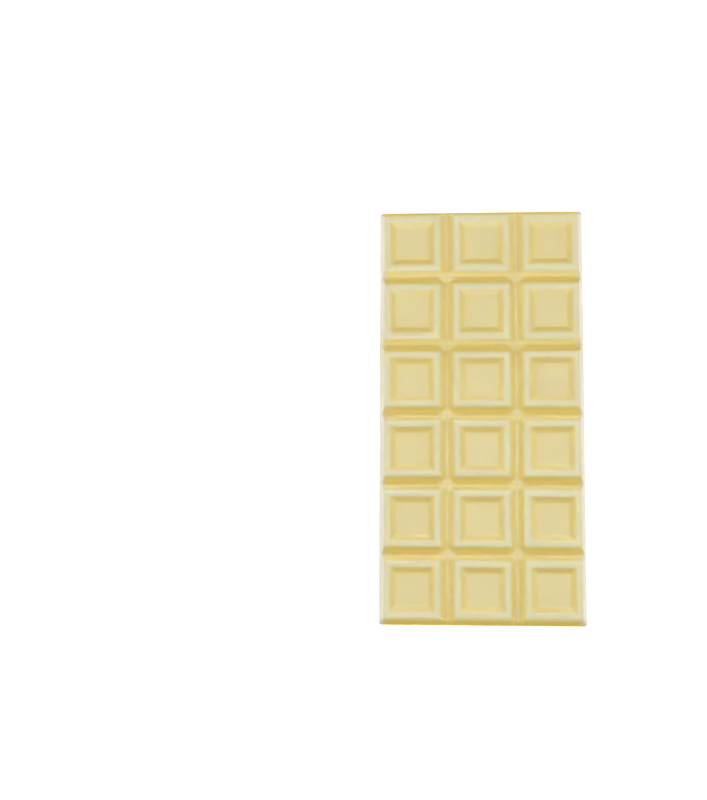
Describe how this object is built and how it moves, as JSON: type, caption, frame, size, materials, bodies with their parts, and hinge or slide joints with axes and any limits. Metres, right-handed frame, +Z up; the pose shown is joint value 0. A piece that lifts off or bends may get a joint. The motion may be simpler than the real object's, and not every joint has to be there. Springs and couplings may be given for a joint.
{
  "type": "chocolate bar",
  "caption": "Moulded white chocolate bar: a flat slab of framed squares, parted by grooves so that it breaks into even pieces.",
  "frame": {"origin": "middle of the flat back, on the surface that the bar lies on", "axes": "+X across the bar, +Y along it, +Z up through the moulded squares"},
  "size_m": [0.0766, 0.1556, 0.008],
  "materials": {
    "white_chocolate": "satin"
  },
  "bodies": {
    "root": {"chocolate_bar": "white_chocolate"}
  },
  "joints": []
}
